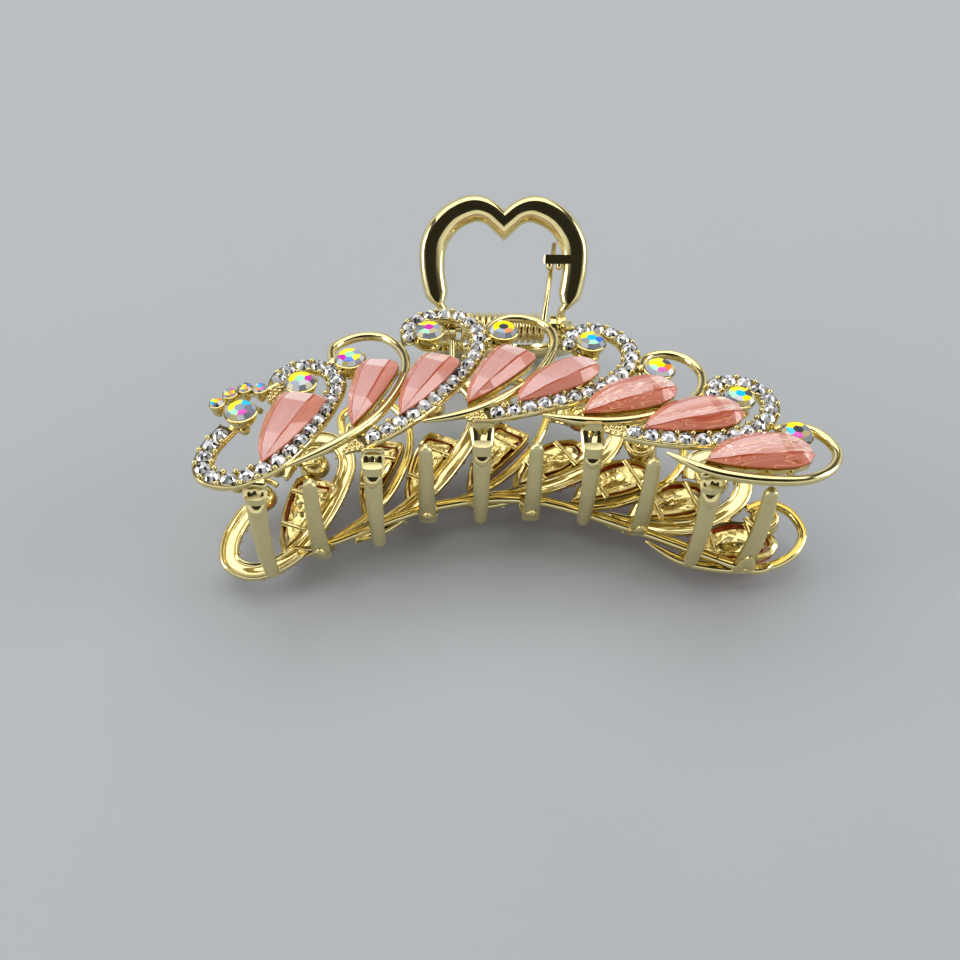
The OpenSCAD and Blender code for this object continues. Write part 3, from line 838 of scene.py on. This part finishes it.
# Pink of each group of a drop stone's facets, with painted light and shade: the top, tip and end facets are
# painted paler where light falls on them, the line facets, girdle and underside are darker as painted shade,
# and the right side is a little darker than the left
DROP_LIT_AND_SHADED_TINTS = {
    "under": (0.75, 0.14, 0.06), "girdle": (0.62, 0.18, 0.10), "left": (0.70, 0.28, 0.20),
    "right": (0.68, 0.25, 0.17), "line": (0.48, 0.10, 0.04), "top": (0.70, 0.37, 0.33),
    "tip": (0.74, 0.41, 0.37), "end": (0.80, 0.54, 0.50),
}
VIVID_TINTS = [(1.0, 0.82, 0.0), (0.0, 0.50, 0.80), (0.62, 0.03, 0.42), (0.05, 0.16, 0.70),
               (0.90, 0.22, 0.02), (0.35, 0.85, 0.50), (0.95, 0.72, 0.0)]
# Silvery facet tints: the foil's grey with painted reflections in it, from near black to a gold one
FOIL_AND_REFLECTION_TINTS = [(0.50, 0.52, 0.53), (0.18, 0.20, 0.23), (0.05, 0.05, 0.06), (0.28, 0.33, 0.42),
                (0.42, 0.36, 0.16)]
# Greys of the clear stones' facets: painted reflections, from black facets to white glints
PAINTED_REFLECTION_GREYS = [0.05, 0.4, 0.75, 0.95, 1.0]


def row_tints(count, template, rng):
    """A random grey for each facet of a row of clear stones: painted glints and dark reflections."""
    greys = [rng.choice(PAINTED_REFLECTION_GREYS) for _ in range(count * len(template.faces))]
    return [(grey, grey, grey, 1) for grey in greys]


def chaton_tints(template, rng, yellow=True):
    """Vivid patches of the coating's colours in the table, with yellow ones side by side, among silvery ones
    and a silvery crown; the silvery tints are the foil's grey with painted reflections in it.
    """
    patches = rng.sample(VIVID_TINTS, 4) + rng.sample(FOIL_AND_REFLECTION_TINTS, 3)
    rng.shuffle(patches)
    if yellow:
        patches[0] = patches[1] = VIVID_TINTS[0]
    crown = [rng.choice(FOIL_AND_REFLECTION_TINTS) for _ in range(len(template.faces) - len(patches))]
    return [(*tint, 1) for tint in crown + patches]


def stones(side):
    rng = random.Random(7 if side == "front" else 8)
    small = brilliant(PAVE_D / 2, PAVE_H)
    large = chaton(CHATON_D / 2, CHATON_H)
    accent = chaton(ACCENT_D / 2, ACCENT_H)
    made = []
    for n in (1, 3, 5, 7):
        row = Shape()
        places = spaced(LOOPS[n], PAVE_PITCH, PAVE_D)
        for x, y in places:
            row.placed(small, seat(x, y, 0.02, rng.uniform(0, 45)))
        tints = row_tints(len(places), small, rng)
        piece = row.build(f"{side}_clear_row_{n}", side, [CLEAR], side, tints)
        made.append((piece, f"{side}_small_stones_{n}", "clear_rhinestone"))
    for i, at in enumerate(ROUND_STONES, 1):
        gem = Shape()
        gem.placed(large, seat(*at, CHATON_SEAT, rng.uniform(0, 60)))
        tints = chaton_tints(large, rng)
        piece = gem.build(f"{side}_round_gem_{i}", side, [RAINBOW], side, tints)
        made.append((piece, f"{side}_round_stone_{i}", "rainbow_rhinestone"))
    row, tints = Shape(), []
    for at in ACCENT_STONES:
        row.placed(accent, seat(*at, ACCENT_SEAT, rng.uniform(0, 60)))
        tints += chaton_tints(accent, rng, False)
    piece = row.build(f"{side}_accent_gems", side, [RAINBOW], side, tints)
    made.append((piece, f"{side}_accent_stones", "rainbow_rhinestone"))
    for i, (x, y, turn, width) in enumerate(DROPS, 1):
        drop, parts = drop_gem(drop_kind(i - 1), width)
        # How strongly the streaks' painted highlights and shade show on each drop stone
        streak_highlight_share = 1.0 if i > 5 else 0.15
        gem = Shape()
        gem.placed(drop, seat(x, y, DROP_SEAT, turn))
        tints = [(*DROP_LIT_AND_SHADED_TINTS[part], streak_highlight_share) for part in parts]
        piece = gem.build(f"{side}_drop_gem_{i}", side, [PINK], side, tints)
        grain = piece.data.attributes.new("grain", "FLOAT_VECTOR", "POINT")
        own_grain = np.array(drop.points) + [20.0 * i, 0, 0]
        grain.data.foreach_set("vector", own_grain.astype(np.float32).ravel())
        made.append((piece, f"{side}_drop_stone_{i}", "pink_resin"))
    for piece, node, slot in made:
        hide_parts(node)


# ---------------------------------------------------------------- spring
SPRING_WIRE, SPRING_D, SPRING_TURNS, SPRING_PITCH = 0.8, 4.0, 13.25, 0.94
SPRING_POINTS = 400
LEG_TOP, LEG_DEPTH = (8.0, 10.2), -1.3


def torsion_spring():
    """One wire: rear leg, coil round the pin, and front leg."""
    half = SPRING_TURNS * SPRING_PITCH / 2
    turn = np.radians(225) - np.linspace(0, 2 * math.pi * SPRING_TURNS, SPRING_POINTS)
    r = SPRING_D / 2
    coil = np.stack([np.linspace(-half, half, SPRING_POINTS), r * np.cos(turn), r * np.sin(turn)], 1)
    top = lever_plane([(*LEG_TOP, LEG_DEPTH)])[0]
    rear_top = top * [-1, 1, -1]
    path = np.vstack([[rear_top, rear_top + (coil[0] - rear_top) * 0.85], coil,
                      [coil[-1] + (top - coil[-1]) * 0.15, top]])
    wire = Shape()
    tube(wire, path, SPRING_WIRE, 10)
    return wire, half


def place_spring():
    wire, half = torsion_spring()
    mesh = bpy.data.meshes.new("torsion_spring")
    mesh.from_pydata(laid_down(wire.points, "front").tolist(), [], wire.faces)
    mesh.materials.append(SPRING)
    mesh.polygons.foreach_set("use_smooth", [True] * len(mesh.polygons))
    piece = bpy.data.objects.new("torsion_spring", mesh)
    bpy.context.scene.collection.objects.link(piece)
    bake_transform(piece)
    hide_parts("spring_coil", "spring_leg")


# ---------------------------------------------------------------- studio
def place_camera(scene):
    """Camera that stands at a place in the front jaw's own frame, and is turned there."""
    dip, heading, roll = math.radians(49.12), math.radians(-1.35), math.radians(1.46)
    camera = bpy.data.cameras.new("camera")
    camera.sensor_width = 36.0
    camera.lens = 36.04
    camera.clip_start = 0.01
    eye = bpy.data.objects.new("camera", camera)
    scene.collection.objects.link(eye)
    spin = Matrix.Rotation(heading, 3, "Z")
    look = spin @ Vector((0, math.cos(dip), -math.sin(dip)))
    over = spin @ Vector((0, math.sin(dip), math.cos(dip)))
    across = spin @ Vector((1, 0, 0))
    right = math.cos(roll) * across + math.sin(roll) * over
    up = -math.sin(roll) * across + math.cos(roll) * over
    lie = Matrix.Rotation(LEAN, 3, "X")
    axes = Matrix((lie @ right, lie @ up, -(lie @ look))).transposed()
    stand = laid_down([(-5.7, -117.6, 99.1)], "front")[0]
    eye.matrix_world = Matrix.Translation(Vector(stand)) @ axes.to_4x4()
    scene.camera = eye


def flat_panel(scene, name, corners, material_name, colour, rough):
    """Flat face with a plain, slightly uneven material."""
    mesh = bpy.data.meshes.new(name)
    mesh.from_pydata(corners, [], [tuple(range(len(corners)))])
    panel = bpy.data.objects.new(name, mesh)
    scene.collection.objects.link(panel)
    material, nodes, links, shader = new_material(material_name)
    shader.inputs["Base Color"].default_value = (*colour, 1)
    noise_into(nodes, links, shader.inputs["Roughness"], 30.0, *rough)
    mesh.materials.append(material)
    return panel


def softbox(scene, name, place, size, power, colour):
    """Area light that looks at the origin."""
    light = bpy.data.lights.new(name, "AREA")
    light.shape = "RECTANGLE"
    light.size, light.size_y = size
    light.energy = power
    light.color = colour
    lamp = bpy.data.objects.new(name, light)
    scene.collection.objects.link(lamp)
    lamp.location = place
    lamp.rotation_euler = (-Vector(place)).to_track_quat("-Z", "Y").to_euler()


# Room's colour against the height of a direction, from 0 at the horizon to 1 overhead
ROOM_LIGHT = [(0.0, (0.95, 0.96, 1.0)), (0.30, (0.80, 0.82, 0.86)), (0.55, (0.10, 0.095, 0.09)),
              (1.0, (0.10, 0.095, 0.09))]


def light_room(scene):
    """World that is pale at the horizon and below it, and dark overhead."""
    world = bpy.data.worlds.new("room")
    scene.world = world
    world.use_nodes = True
    nodes, links = world.node_tree.nodes, world.node_tree.links
    where = nodes.new("ShaderNodeTexCoord")
    split = nodes.new("ShaderNodeSeparateXYZ")
    links.new(where.outputs["Generated"], split.inputs["Vector"])
    ramp = colour_ramp(nodes, ROOM_LIGHT)
    links.new(split.outputs["Z"], ramp.inputs["Fac"])
    links.new(ramp.outputs["Color"], nodes["Background"].inputs["Color"])
    nodes["Background"].inputs["Strength"].default_value = 1.05


TABLE_HALF = 3.0
PERSON_R, PERSON_PLACE = 0.34, (0.0, -0.36, 0.42)


def studio():
    scene = bpy.context.scene
    scene.view_settings.view_transform = "Standard"
    place_camera(scene)

    s = TABLE_HALF
    table = flat_panel(scene, "table", [(-s, -s, 0), (s, -s, 0), (s, s, 0), (-s, s, 0)],
                       "table_top", (0.42, 0.437, 0.45), (0.5, 0.6))

    softbox(scene, "ceiling_light", (-0.1, 0.3, 1.0), (1.6, 1.2), 11.0, (0.97, 0.985, 1.0))
    softbox(scene, "left_light", (-0.8, -0.1, 0.35), (0.4, 0.6), 3.0, (1.0, 0.98, 0.95))
    softbox(scene, "right_light", (0.8, 0.0, 0.35), (0.4, 0.6), 3.0, (0.95, 0.98, 1.0))

    # Dark shape of the person behind the camera, which the polished gold mirrors
    round_edge = [(PERSON_R * math.cos(a), PERSON_R * 0.9 * math.sin(a), 0)
                  for a in np.arange(32) * math.pi / 16]
    person = flat_panel(scene, "dark_backdrop", round_edge, "dark_cloth", (0.02, 0.018, 0.016), (0.8, 0.9))
    place = Vector(PERSON_PLACE)
    person.matrix_world = Matrix.Translation(place) @ place.to_track_quat("Z", "Y").to_matrix().to_4x4()

    light_room(scene)


for jaw_side in ("rear", "front"):
    castings(jaw_side)
    stones(jaw_side)
place_spring()
pin = bpy.data.objects["hinge_pin"]
pin.data.materials.clear()
pin.data.materials.append(GOLD)
studio()
